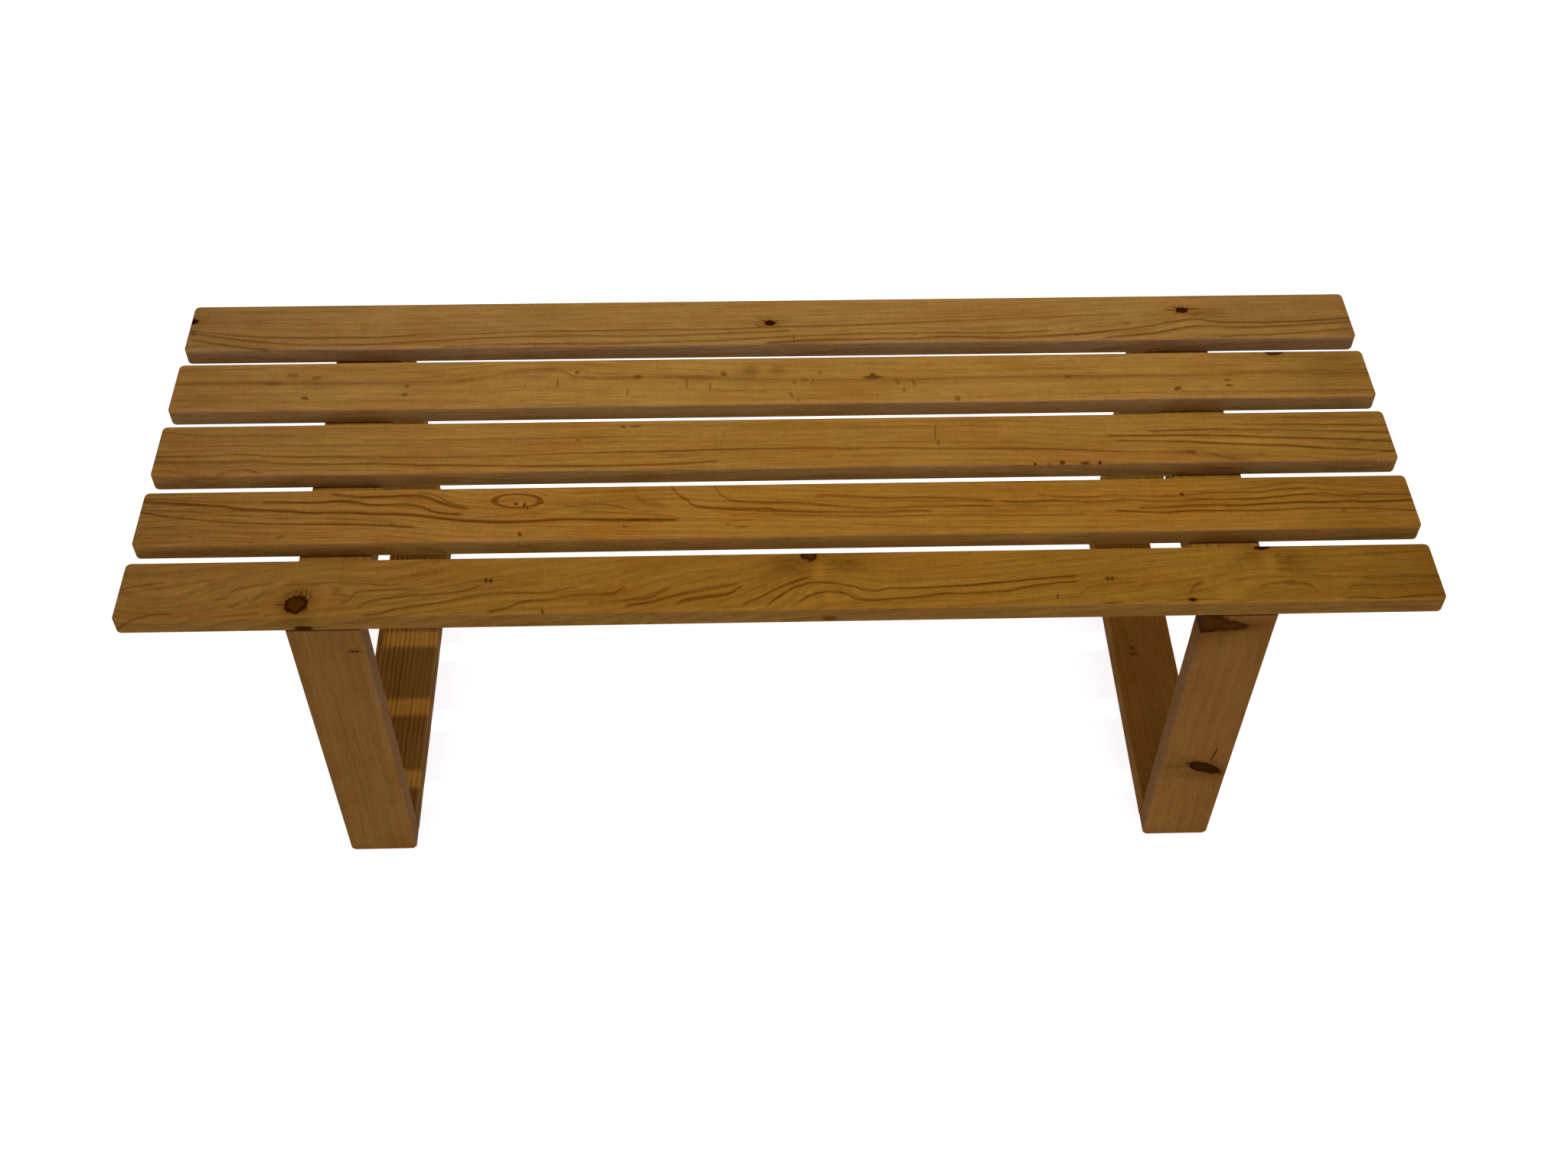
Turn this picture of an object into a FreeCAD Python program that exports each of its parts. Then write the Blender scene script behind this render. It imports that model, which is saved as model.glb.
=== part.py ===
import FreeCAD, Part
import os

# Slatted pine bench: parallel seat slats on two closed frames of flat boards.
# Millimetres. +Z is up, +X runs along the slats and the front faces -Y.
# The origin is on the floor, in the middle of the bench.

# Seat slats
seat_length = 1240.0
slat_count = 5
slat_width = 70.0
slat_thickness = 21.0
slat_gap = 21.5
slat_edge_radius = 3.0
slat_corner_radius = 5.5

# Frames: two legs and two rails each, all sawn from one board
seat_height = 395.0
frame_inset = 155.0  # from the slat ends to a frame's outer face
board_width = 70.0
board_thickness = 26.0
board_edge_radius = 2.5
foot_chamfer = 3.5

# Dowels that join each rail's ends to the legs, two to a corner
dowel_diameter = 8.0
dowel_length = 35.0
dowel_glue_clearance = 0.05
dowel_end_clearance = 1.0
dowel_in_leg_share = 0.58  # of the board's thickness
dowel_lane_share = 0.31  # of the board's width, out from its middle

# Countersunk wood screws, up through a top rail into each slat, drawn without their thread
screw_head_diameter = 8.0
screw_thread_diameter = 4.0
screw_shank_diameter = 2.9
screw_tip_length = 4.0
screw_seat_clearance = 0.05
screw_hole_clearance = 0.2
screw_pilot_clearance = 0.05
screw_pilot_end_clearance = 1.0
screw_bite_share = 0.67  # of the slat's thickness

# Modelling values
overrun = 2.0
edge_tolerance = 0.01
largest_radius_share = 0.45

# Worked out from the sizes above
seat_depth = slat_count * slat_width + (slat_count - 1) * slat_gap
leg_height = seat_height - slat_thickness
rail_length = seat_depth - 2 * board_thickness
top_rail_bottom = leg_height - board_thickness
frame_centre_x = seat_length / 2 - frame_inset - board_width / 2
dowel_length_in_leg = board_thickness * dowel_in_leg_share
screw_length = board_thickness + slat_thickness * screw_bite_share

BACK = FreeCAD.Vector(0, 1, 0)
UP = FreeCAD.Vector(0, 0, 1)
SIDES = {"left": -1, "right": 1}
ENDS = {"front": -1, "rear": 1}
RAIL_BOTTOMS = {"top": top_rail_bottom, "floor": 0}


def placed(shape, x, y, z):
    copy = shape.copy()
    copy.translate(FreeCAD.Vector(x, y, z))
    return copy


def turned(shape, axis, angle):
    copy = shape.copy()
    copy.rotate(FreeCAD.Vector(0, 0, 0), axis, angle)
    return copy


def revolved(points):
    # A solid turned about Z from (radius, height) points that start and end on the axis.
    vectors = [FreeCAD.Vector(radius, 0, height) for radius, height in points]
    wire = Part.makePolygon(vectors + vectors[:1])
    return Part.Face(wire).revolve(FreeCAD.Vector(0, 0, 0), UP, 360)


# Boards

def plank(size_x, size_y, size_z):
    # A sawn board, centred on X = 0 and Y = 0, with its underside on Z = 0.
    return Part.makeBox(size_x, size_y, size_z, FreeCAD.Vector(-size_x / 2, -size_y / 2, 0))


def limited(radius, wall):
    # An edge is never rounded by more than its wall allows.
    return min(radius, wall * largest_radius_share)


def slat():
    # Lies along X. Its corners are rounded in plan, and its top and bottom edges are eased.
    board = plank(seat_length, slat_width, slat_thickness)
    corners = [e for e in board.Edges if e.BoundBox.ZLength > edge_tolerance]
    board = board.makeFillet(limited(slat_corner_radius, slat_width), corners)
    rims = [e for e in board.Edges if e.BoundBox.ZLength < edge_tolerance]
    return board.makeFillet(limited(slat_edge_radius, slat_thickness), rims)


def leg():
    # Stands upright. The foot's corners are cut off, and the top stays square under the seat.
    board = plank(board_width, board_thickness, leg_height)
    foot = [
        e for e in board.Edges
        if e.BoundBox.YLength > edge_tolerance and e.BoundBox.ZMax < edge_tolerance
    ]
    board = board.makeChamfer(limited(foot_chamfer, board_width), foot)
    rims = [
        e for e in board.Edges
        if e.BoundBox.YLength < edge_tolerance and e.BoundBox.ZMin < leg_height - edge_tolerance
    ]
    return board.makeFillet(limited(board_edge_radius, board_thickness), rims)


def rail():
    # Lies along Y with rounded long edges and square-cut ends.
    board = plank(board_width, rail_length, board_thickness)
    long_edges = [e for e in board.Edges if e.BoundBox.YLength > edge_tolerance]
    return board.makeFillet(limited(board_edge_radius, board_thickness), long_edges)


# Dowels

def dowel():
    # Lies along +Y, with Y = 0 where the leg's face meets the rail's end.
    start = FreeCAD.Vector(0, -dowel_length_in_leg, 0)
    return Part.makeCylinder(dowel_diameter / 2, dowel_length, start, BACK)


def dowel_bore():
    # The blind holes for one dowel, in the leg and in the rail's end.
    radius = dowel_diameter / 2 + dowel_glue_clearance
    start = FreeCAD.Vector(0, -dowel_length_in_leg - dowel_end_clearance, 0)
    return Part.makeCylinder(radius, dowel_length + 2 * dowel_end_clearance, start, BACK)


def corner_pair(shape, side, end, rail_bottom):
    # Two copies of a dowel or its bore at one corner of a frame, pointing into the rail.
    pair = []
    for step in (-1, 1):
        x = side * frame_centre_x + step * board_width * dowel_lane_share
        z = rail_bottom + board_thickness / 2
        pair.append(placed(turned(shape, UP, 0 if end < 0 else 180), x, end * rail_length / 2, z))
    return pair


# Screws

def screw():
    # Points up from Z = 0 at the rail's underside, with its head flush in that face.
    head = screw_head_diameter / 2
    shank = screw_shank_diameter / 2
    return revolved([
        (0, 0),
        (head, 0),
        (shank, head - shank),
        (shank, screw_length - screw_tip_length),
        (0, screw_length),
    ])


def screw_hole():
    # The countersunk hole through a top rail, with a right-angled seat like the screw's head.
    seat = screw_head_diameter / 2 + screw_seat_clearance
    hole = screw_thread_diameter / 2 + screw_hole_clearance
    return revolved([
        (0, -overrun),
        (seat + overrun, -overrun),
        (hole, seat - hole),
        (hole, board_thickness + overrun),
        (0, board_thickness + overrun),
    ])


def screw_pilot():
    # The blind hole in a slat's underside, with Z = 0 at the rail's underside as for the screw.
    radius = screw_shank_diameter / 2 + screw_pilot_clearance
    start = FreeCAD.Vector(0, 0, board_thickness - overrun)
    end = screw_length + screw_pilot_end_clearance
    return Part.makeCylinder(radius, end - start.z, start, UP)


def slat_middle_y(number):
    return -seat_depth / 2 + slat_width / 2 + (number - 1) * (slat_width + slat_gap)


def slat_screw_places(number):
    # (x, y) of one slat's screws, in the middle of each top rail and of what the slat covers
    # of it: an outer slat also lies on the legs, so its screws stand further in.
    y = slat_middle_y(number)
    if number == 1:
        y += board_thickness / 2
    if number == slat_count:
        y -= board_thickness / 2
    return [(side * frame_centre_x, y) for side in SIDES.values()]


# Assembly

def seat_nodes():
    blank = slat()
    fixing = screw()
    pilot = screw_pilot()
    nodes = {}
    for number in range(1, slat_count + 1):
        places = slat_screw_places(number)
        pilots = [placed(pilot, x, y, top_rail_bottom) for x, y in places]
        fixings = [placed(fixing, x, y, top_rail_bottom) for x, y in places]
        board = placed(blank, 0, slat_middle_y(number), leg_height)
        nodes["seat_slat_%d" % number] = board.cut(Part.Compound(pilots))
        nodes["slat_%d_screws" % number] = Part.Compound(fixings)
    return nodes


def rail_nodes(side_name, side):
    blank = rail()
    bore = dowel_bore()
    hole = screw_hole()
    nodes = {}
    for level, bottom in RAIL_BOTTOMS.items():
        cuts = []
        for end in ENDS.values():
            cuts += corner_pair(bore, side, end, bottom)
        if level == "top":
            for number in range(1, slat_count + 1):
                cuts += [placed(hole, x, y, bottom) for x, y in slat_screw_places(number)]
        board = placed(blank, side * frame_centre_x, 0, bottom)
        nodes["%s_%s_rail" % (side_name, level)] = board.cut(Part.Compound(cuts))
    return nodes


def leg_nodes(side_name, side):
    blank = leg()
    peg = dowel()
    bore = dowel_bore()
    leg_y = (rail_length + board_thickness) / 2
    nodes = {}
    for end_name, end in ENDS.items():
        cuts = []
        for level, bottom in RAIL_BOTTOMS.items():
            cuts += corner_pair(bore, side, end, bottom)
            pegs = corner_pair(peg, side, end, bottom)
            nodes["%s_%s_%s_dowels" % (side_name, end_name, level)] = Part.Compound(pegs)
        board = placed(blank, side * frame_centre_x, end * leg_y, 0)
        nodes["%s_%s_leg" % (side_name, end_name)] = board.cut(Part.Compound(cuts))
    return nodes


def bench():
    nodes = seat_nodes()
    for side_name, side in SIDES.items():
        nodes.update(rail_nodes(side_name, side))
        nodes.update(leg_nodes(side_name, side))
    return nodes


os.makedirs("parts", exist_ok=True)
for name, shape in bench().items():
    shape.exportStep("parts/%s.step" % name)
    print(name, "solids", len(shape.Solids), "volume %.0f mm3" % shape.Volume, "valid", shape.isValid())
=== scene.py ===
import math

import bpy
from mathutils import Matrix, Vector


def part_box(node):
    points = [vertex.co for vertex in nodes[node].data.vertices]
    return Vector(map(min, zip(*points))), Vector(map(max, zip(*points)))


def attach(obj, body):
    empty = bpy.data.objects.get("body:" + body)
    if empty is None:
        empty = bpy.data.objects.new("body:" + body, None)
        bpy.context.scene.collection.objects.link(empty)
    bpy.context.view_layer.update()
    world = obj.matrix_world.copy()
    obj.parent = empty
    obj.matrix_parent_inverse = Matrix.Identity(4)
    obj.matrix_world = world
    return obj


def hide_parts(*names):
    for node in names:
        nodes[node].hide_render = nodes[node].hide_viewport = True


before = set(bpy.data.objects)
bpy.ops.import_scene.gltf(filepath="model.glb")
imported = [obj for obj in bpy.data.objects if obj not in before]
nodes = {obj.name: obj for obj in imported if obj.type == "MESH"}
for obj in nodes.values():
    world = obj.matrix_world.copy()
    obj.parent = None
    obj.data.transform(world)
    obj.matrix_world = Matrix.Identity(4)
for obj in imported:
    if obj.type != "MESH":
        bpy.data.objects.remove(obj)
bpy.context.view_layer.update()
mm = 0.001
print("frame loaded:", len(nodes), "nodes")


# small helpers for building node trees

def addNode(tree, kind, **settings):
    node = tree.nodes.new("ShaderNode" + kind)
    for name, value in settings.items():
        setattr(node, name, value)
    return node


def feed(tree, socket, value):
    # a socket is linked, anything else is written into the input
    if isinstance(value, bpy.types.NodeSocket):
        tree.links.new(value, socket)
    else:
        socket.default_value = value


def addFed(tree, kind, values, **settings):
    # a node whose first inputs take the values in order
    node = addNode(tree, kind, **settings)
    for socket, value in zip(node.inputs, values):
        feed(tree, socket, value)
    return node


def calc(tree, operation, *values, clamp=False):
    return addFed(tree, "Math", values, operation=operation, use_clamp=clamp).outputs[0]


def times(tree, product, *others):
    for other in others:
        product = calc(tree, "MULTIPLY", product, other)
    return product


def spread(tree, value, middle, width):
    # a noise value from 0 to 1, laid round the middle
    return calc(tree, "MULTIPLY_ADD", value, width, middle - width / 2)


def vectorCalc(tree, operation, *values):
    node = addFed(tree, "VectorMath", values, operation=operation)
    return node.outputs["Value" if operation in ("LENGTH", "DOT_PRODUCT") else "Vector"]


def scaled(tree, vector, amount):
    node = addFed(tree, "VectorMath", [vector], operation="SCALE")
    feed(tree, node.inputs["Scale"], amount)
    return node.outputs["Vector"]


def turnAbout(tree, vector, angle):
    node = addFed(tree, "VectorRotate", [vector], rotation_type="Z_AXIS")
    feed(tree, node.inputs["Angle"], angle)
    return node.outputs[0]


def splitVector(tree, vector):
    return addFed(tree, "SeparateXYZ", [vector]).outputs


def joinVector(tree, *parts):
    return addFed(tree, "CombineXYZ", parts).outputs[0]


def ramp(tree, value, start, end, low=0.0, high=1.0, kind="SMOOTHSTEP"):
    limits = (value, start, end, low, high)
    return addFed(tree, "MapRange", limits, clamp=True, interpolation_type=kind).outputs[0]


def blend(tree, amount, first, second, mode="MIX"):
    node = addNode(tree, "Mix", data_type="RGBA", blend_type=mode, clamp_factor=True)
    feed(tree, node.inputs["Factor"], amount)
    feed(tree, node.inputs[6], first)
    feed(tree, node.inputs[7], second)
    return node.outputs[2]


def noise(tree, vector, seed, scale=1.0, detail=1.0, rough=0.5):
    node = addNode(tree, "TexNoise", noise_dimensions="4D")
    values = {"Vector": vector, "W": seed, "Scale": scale, "Detail": detail, "Roughness": rough}
    for name, value in values.items():
        feed(tree, node.inputs[name], value)
    return node.outputs


def startGroup(name, inputs, *numbers, **others):
    # inputs are {name: value}; outputs are the names of numbers, and other names with their kind
    tree = bpy.data.node_groups.new(name, "ShaderNodeTree")
    kindBySize = {3: "Vector", 4: "Color"}
    for inputName, value in inputs.items():
        kind = kindBySize[len(value)] if isinstance(value, tuple) else "Float"
        socket = tree.interface.new_socket(inputName, in_out="INPUT", socket_type="NodeSocket" + kind)
        socket.default_value = value
    for outputName, kind in {**dict.fromkeys(numbers, "Float"), **others}.items():
        tree.interface.new_socket(outputName, in_out="OUTPUT", socket_type="NodeSocket" + kind)
    return tree, tree.nodes.new("NodeGroupInput").outputs, tree.nodes.new("NodeGroupOutput").inputs


def useGroup(tree, group, **values):
    node = addNode(tree, "Group", node_tree=group)
    for name, value in values.items():
        feed(tree, node.inputs[name.replace("_", " ")], value)
    return node.outputs


# effects that the wood materials share; all lengths inside them are millimetres on the board:
# X along the grain, Y across the face, Z through the thickness

zeroVector = (0, 0, 0)


def makeSpotGroup():
    # adds one soft round spot to a running sum: a bend in the grain, a stain, painted shade, a calm area or
    # painted sheen
    tree, given, made = startGroup("softSpot", {
        "Vector": zeroVector, "Centre": zeroVector, "Tightness": (0.03, 0.06, 0), "Amount": 0.0, "Sum": 0.0,
    }, "Sum")
    away = vectorCalc(tree, "SUBTRACT", given["Vector"], given["Centre"])
    away = vectorCalc(tree, "MULTIPLY", away, given["Tightness"])
    hump = calc(tree, "POWER", 1 / math.e, vectorCalc(tree, "DOT_PRODUCT", away, away))
    feed(tree, made["Sum"], calc(tree, "MULTIPLY_ADD", hump, given["Amount"], given["Sum"]))
    return tree


lineLook = {
    "span": 100.0,  # across the board, what a line's curve covers
    "back": (0.62, 0.05), "front": (-0.95, -0.05),  # in line widths, where the shade starts and is full
    "fade": 8.0,
}


def makeLineGroup():
    # one dark ring line that crosses the board's face at the heights drawn for it
    tree, given, made = startGroup("ringLine", {
        "Across": 0.0, "Share": 0.0, "Height": 0.5, "Length": 100.0, "Width": 2.5, "Strength": 0.5,
        "Lines": 0.0,
    }, "Lines")
    span = lineLook["span"]
    height = calc(tree, "MULTIPLY_ADD", given["Height"], span, -span / 2)
    away = calc(tree, "DIVIDE", calc(tree, "SUBTRACT", given["Across"], height), given["Width"])
    line = times(tree, ramp(tree, away, *lineLook["back"]), ramp(tree, away, *lineLook["front"]))
    fromEnd = calc(tree, "MINIMUM", given["Share"], calc(tree, "SUBTRACT", 1.0, given["Share"]))
    ends = ramp(tree, times(tree, fromEnd, given["Length"]), 0.0, lineLook["fade"])
    line = times(tree, line, ends, given["Strength"])
    feed(tree, made["Lines"], calc(tree, "MAXIMUM", given["Lines"], line))
    return tree


markLook = {
    "outline": (1.75, 1.15), "ragged": 0.9,
    "loopSize": 1.15, "loopThinner": 9.0, "loopRagged": -0.6,  # what a hollow mark changes
}


def makeMarkGroup():
    # one small dark mark with a ragged outline: a tick, a scratch or a bark pocket
    tree, given, made = startGroup("woodMark", {
        "Vector": zeroVector, "Centre": zeroVector, "Tightness": (0.3, 0.5, 0.3), "Turn": 0.0,
        "Darkness": 0.6, "Hollow": 0.0, "Ragged": 0.5, "Mark": 0.0,
    }, "Mark")
    hollow = given["Hollow"]
    away = vectorCalc(tree, "SUBTRACT", given["Vector"], given["Centre"])
    local = vectorCalc(tree, "MULTIPLY", turnAbout(tree, away, given["Turn"]), given["Tightness"])
    roughEdge = calc(tree, "MULTIPLY_ADD", hollow, markLook["loopRagged"], markLook["ragged"])
    distance = calc(tree, "MULTIPLY_ADD", given["Ragged"], roughEdge, vectorCalc(tree, "LENGTH", local))
    # a hollow mark is a loop: only its outline is dark
    distance = calc(tree, "SUBTRACT", distance, times(tree, hollow, markLook["loopSize"]))
    thin = calc(tree, "MULTIPLY_ADD", hollow, markLook["loopThinner"], 1.0)
    distance = times(tree, calc(tree, "ABSOLUTE", distance), thin)
    shade = ramp(tree, distance, *markLook["outline"], 0.0, given["Darkness"])
    feed(tree, made["Mark"], calc(tree, "MAXIMUM", given["Mark"], shade))
    return tree


knotLook = {
    "wobble": 1.1, "wobbleNoise": {"scale": 1.9, "detail": 4.0, "rough": 0.65}, "seedStep": 0.37,
    "through": 1000.0,  # half a knot's depth, far more than any board's
    "disc": (1.12, 0.82), "core": (0.86, 0.45),
    "wingSize": (2.8, 0.8, 1), "wingFall": -1.3, "haloStart": 0.9, "haloFall": -1.1, "haloDepth": 2.0,
}


def makeKnotGroup():
    # one knot: a ragged dark disc, lighter inside where it is large, with a resin-stained rim
    tree, given, made = startGroup("pineKnot", {
        "Vector": zeroVector, "Centre": zeroVector, "Size": (5, 5, knotLook["through"]), "Lean": zeroVector,
        "Turn": 0.0, "Darkness": 1.0, "Openness": 0.0, "Knot": 0.0, "Halo": 0.0, "Core": 0.0,
    }, "Knot", "Halo", "Core")
    away = vectorCalc(tree, "SUBTRACT", given["Vector"], given["Centre"])
    leaning = scaled(tree, given["Lean"], splitVector(tree, away)[2])
    local = turnAbout(tree, vectorCalc(tree, "SUBTRACT", away, leaning), given["Turn"])
    local = vectorCalc(tree, "DIVIDE", local, given["Size"])
    seed = times(tree, splitVector(tree, given["Centre"])[0], knotLook["seedStep"])
    wobble = noise(tree, local, seed, **knotLook["wobbleNoise"])["Fac"]
    wobble = spread(tree, wobble, 0.0, knotLook["wobble"])
    distance = calc(tree, "ADD", vectorCalc(tree, "LENGTH", local), wobble)
    disc = times(tree, ramp(tree, distance, *knotLook["disc"]), given["Darkness"])
    wing = vectorCalc(tree, "LENGTH", vectorCalc(tree, "DIVIDE", local, knotLook["wingSize"]))
    wing = times(tree, calc(tree, "POWER", wing, 2.0), knotLook["wingFall"])
    halo = times(tree, calc(tree, "MAXIMUM", distance, knotLook["haloStart"]), knotLook["haloFall"])
    halo = times(tree, calc(tree, "EXPONENT", halo), knotLook["haloDepth"])
    halo = calc(tree, "MAXIMUM", halo, calc(tree, "EXPONENT", wing))
    halo = times(tree, halo, given["Darkness"])
    core = times(tree, ramp(tree, distance, *knotLook["core"]), given["Openness"])
    for name, value in (("Knot", disc), ("Halo", halo), ("Core", core)):
        feed(tree, made[name], calc(tree, "MAXIMUM", given[name], value))
    return tree


ringLook = {
    "swirls": (("Wander", 0.0, 1.0), ("Curl", 7.3, 3.0)),  # with their seed steps and details
    "swirl": 4.0, "swirlRough": 0.55, "squeeze": (1, 3.2, 3.2), "flowTurn": 80.0,
    "yearStep": 0.43, "yearSpread": 0.5, "yearNoise": {"seed": 1.0, "detail": 0.0},
    "lateRise": (0.45, 0.92), "lateFall": (1.0, 0.93), "latePower": 1.6, "leastTone": 0.5,
    "fadeSeed": 11.0, "fadeDetail": 2.0, "fadeStretch": (0.012, 0.11, 0.11),
    "fade": (0.34, 0.58, 0.35, 1.0),
}


def makeGrainGroup():
    # growth rings as tubes round a pith that drifts and wanders along the board
    tree, given, made = startGroup("pineGrain", {
        "Vector": zeroVector, "Pith": (0, 0, -60), "Drift": zeroVector, "Ring Width": 4.5,
        "Wander": 0.8, "Wander Length": 160.0, "Curl": 0.5, "Curl Length": 40.0, "Bulge": 0.0,
        "Face": 10.5, "Seed": 0.0,
    }, "Late Wood", "Ring", "Across", Flow="Vector")
    place = given["Vector"]
    seed = given["Seed"]
    along = splitVector(tree, place)[0]
    thin = vectorCalc(tree, "MULTIPLY", place, ringLook["squeeze"])
    offset = place
    for name, seedStep, detail in ringLook["swirls"]:
        length = joinVector(tree, *[given[name + " Length"]] * 3)
        position = vectorCalc(tree, "DIVIDE", thin, length)
        swirlSeed = calc(tree, "ADD", seed, seedStep)
        swirl = noise(tree, position, swirlSeed, detail=detail, rough=ringLook["swirlRough"])["Color"]
        swirl = vectorCalc(tree, "SUBTRACT", swirl, (0.5, 0.5, 0.5))
        move = scaled(tree, swirl, times(tree, given[name], ringLook["swirl"]))
        offset = vectorCalc(tree, "ADD", offset, move)
    pith = vectorCalc(tree, "ADD", given["Pith"], scaled(tree, given["Drift"], along))
    offset = vectorCalc(tree, "SUBTRACT", offset, pith)
    radius = vectorCalc(tree, "LENGTH", vectorCalc(tree, "MULTIPLY", offset, (0, 1, 1)))
    # where this spot's ring comes out on the board's face
    faceDepth = calc(tree, "SUBTRACT", given["Face"], splitVector(tree, pith)[2])
    reach = calc(tree, "SUBTRACT", times(tree, radius, radius), times(tree, faceDepth, faceDepth))
    reach = calc(tree, "SQRT", calc(tree, "MAXIMUM", reach, 1.0))
    feed(tree, made["Across"], calc(tree, "ADD", splitVector(tree, pith)[1], reach))
    radius = calc(tree, "SUBTRACT", radius, given["Bulge"])
    fromPith = splitVector(tree, offset)
    around = times(tree, calc(tree, "ARCTAN2", fromPith[1], fromPith[2]), ringLook["flowTurn"])
    feed(tree, made["Flow"], joinVector(tree, along, radius, around))
    # some years are wider than others
    years = calc(tree, "DIVIDE", radius, given["Ring Width"])
    growth = joinVector(tree, times(tree, years, ringLook["yearStep"]), seed, 0.0)
    uneven = noise(tree, growth, **ringLook["yearNoise"])["Fac"]
    years = calc(tree, "ADD", years, spread(tree, uneven, 0.0, ringLook["yearSpread"]))
    season = calc(tree, "FRACT", years)
    late = calc(tree, "POWER", ramp(tree, season, *ringLook["lateRise"]), ringLook["latePower"])
    late = times(tree, late, ramp(tree, season, *ringLook["lateFall"]))
    year = joinVector(tree, calc(tree, "FLOOR", years), seed, 0.0)
    tone = addFed(tree, "TexWhiteNoise", [year], noise_dimensions="2D").outputs["Value"]
    leastTone = ringLook["leastTone"]
    late = times(tree, late, calc(tree, "MULTIPLY_ADD", tone, 1 - leastTone, leastTone))
    # a line fades and comes back along the board
    fadePlace = vectorCalc(tree, "MULTIPLY", place, ringLook["fadeStretch"])
    fadeSeed = calc(tree, "ADD", seed, ringLook["fadeSeed"])
    fade = noise(tree, fadePlace, fadeSeed, detail=ringLook["fadeDetail"])["Fac"]
    late = times(tree, late, ramp(tree, fade, *ringLook["fade"]))
    feed(tree, made["Late Wood"], late)
    feed(tree, made["Ring"], season)
    return tree


fibreKinds = {  # what each one follows, its frequencies, its seed step and its detail
    "Fibre": ("Flow", (0.035, 0.9, 0.5), 21.0, 3.0),
    "Streak": ("Flow", (0.006, 0.26, 0.16), 31.0, 3.0),
    "Patch": ("Vector", (0.011, 0.03, 0.03), 41.0, 3.0),
    "Fleck": ("Flow", (0.16, 1.9, 1.9), 51.0, 0.0),
    "Grit": ("Vector", (0.07, 2.1, 2.1), 61.0, 3.0),
    "Ripple": ("Vector", (0.45, 0.06, 0.06), 71.0, 1.0),
    "Ragged": ("Vector", (0.55, 0.55, 0.55), 81.0, 2.0),
}
fibreLook = {"rough": 0.6, "fleck": (0.72, 0.80)}


def makeFibreGroup():
    # what lies between the rings: fibres and streaks that follow them, resin flecks, stain and planing
    inputs = {"Vector": zeroVector, "Flow": zeroVector, "Seed": 0.0}
    tree, given, made = startGroup("pineFibre", inputs, *fibreKinds)
    for name, (source, stretch, seedStep, detail) in fibreKinds.items():
        seed = calc(tree, "ADD", given["Seed"], seedStep)
        place = vectorCalc(tree, "MULTIPLY", given[source], stretch)
        value = noise(tree, place, seed, detail=detail, rough=fibreLook["rough"])["Fac"]
        if name == "Fleck":
            value = ramp(tree, value, *fibreLook["fleck"])
        feed(tree, made[name], value)
    return tree


edgeLook = {"side": (1.4, 0.3), "end": (0.9, 0.2)}


def makeEdgeGroup():
    # how near a spot is to the board's long edges, sawn sides and end grain
    inputs = {"Vector": zeroVector, "Half": (100, 35, 13), "Width": 3.0}
    tree, given, made = startGroup("boardEdge", inputs, "Edge", "Side", "End")
    inside = vectorCalc(tree, "SUBTRACT", given["Half"], vectorCalc(tree, "ABSOLUTE", given["Vector"]))
    fromEnd, fromSide, fromFace = splitVector(tree, inside)
    nearest = calc(tree, "MAXIMUM", fromEnd, fromSide)
    for other in (fromEnd, fromSide):
        nearest = calc(tree, "MINIMUM", nearest, calc(tree, "MAXIMUM", other, fromFace))
    feed(tree, made["Edge"], ramp(tree, nearest, given["Width"], 0.0))
    feed(tree, made["Side"], ramp(tree, fromSide, *edgeLook["side"]))
    feed(tree, made["End"], ramp(tree, fromEnd, *edgeLook["end"]))
    return tree


colourLook = {
    "lineFade": (0.25, 0.75, 1.25, 0.75),
    "figure": (("Ring", -0.12, 0.06), ("Fibre", 1.0, -0.50), ("Streak", 0.66, -0.33)),
    "light": (("Patch", 0.42, -0.21), ("Ripple", 0.22, -0.11), ("Stain", -1.0, 0.0)),
    "fleck": -0.35, "redPatch": (0.58, 0.34), "redStain": 3.0, "mark": (0.9, 0.55, 0.2, 0.8),
    "halo": 0.55, "core": 0.6, "end": 0.45, "edge": 0.4,
    "redder": (1.03, 0.94, 0.84, 1), "paintedSheenTint": (0.99, 1.01, 1.75, 1),
    "sideSheenTint": (1.06, 1.16, 1.85, 1), "wornAndHighlight": (1.16, 1.14, 1.20, 1),
}


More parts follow.
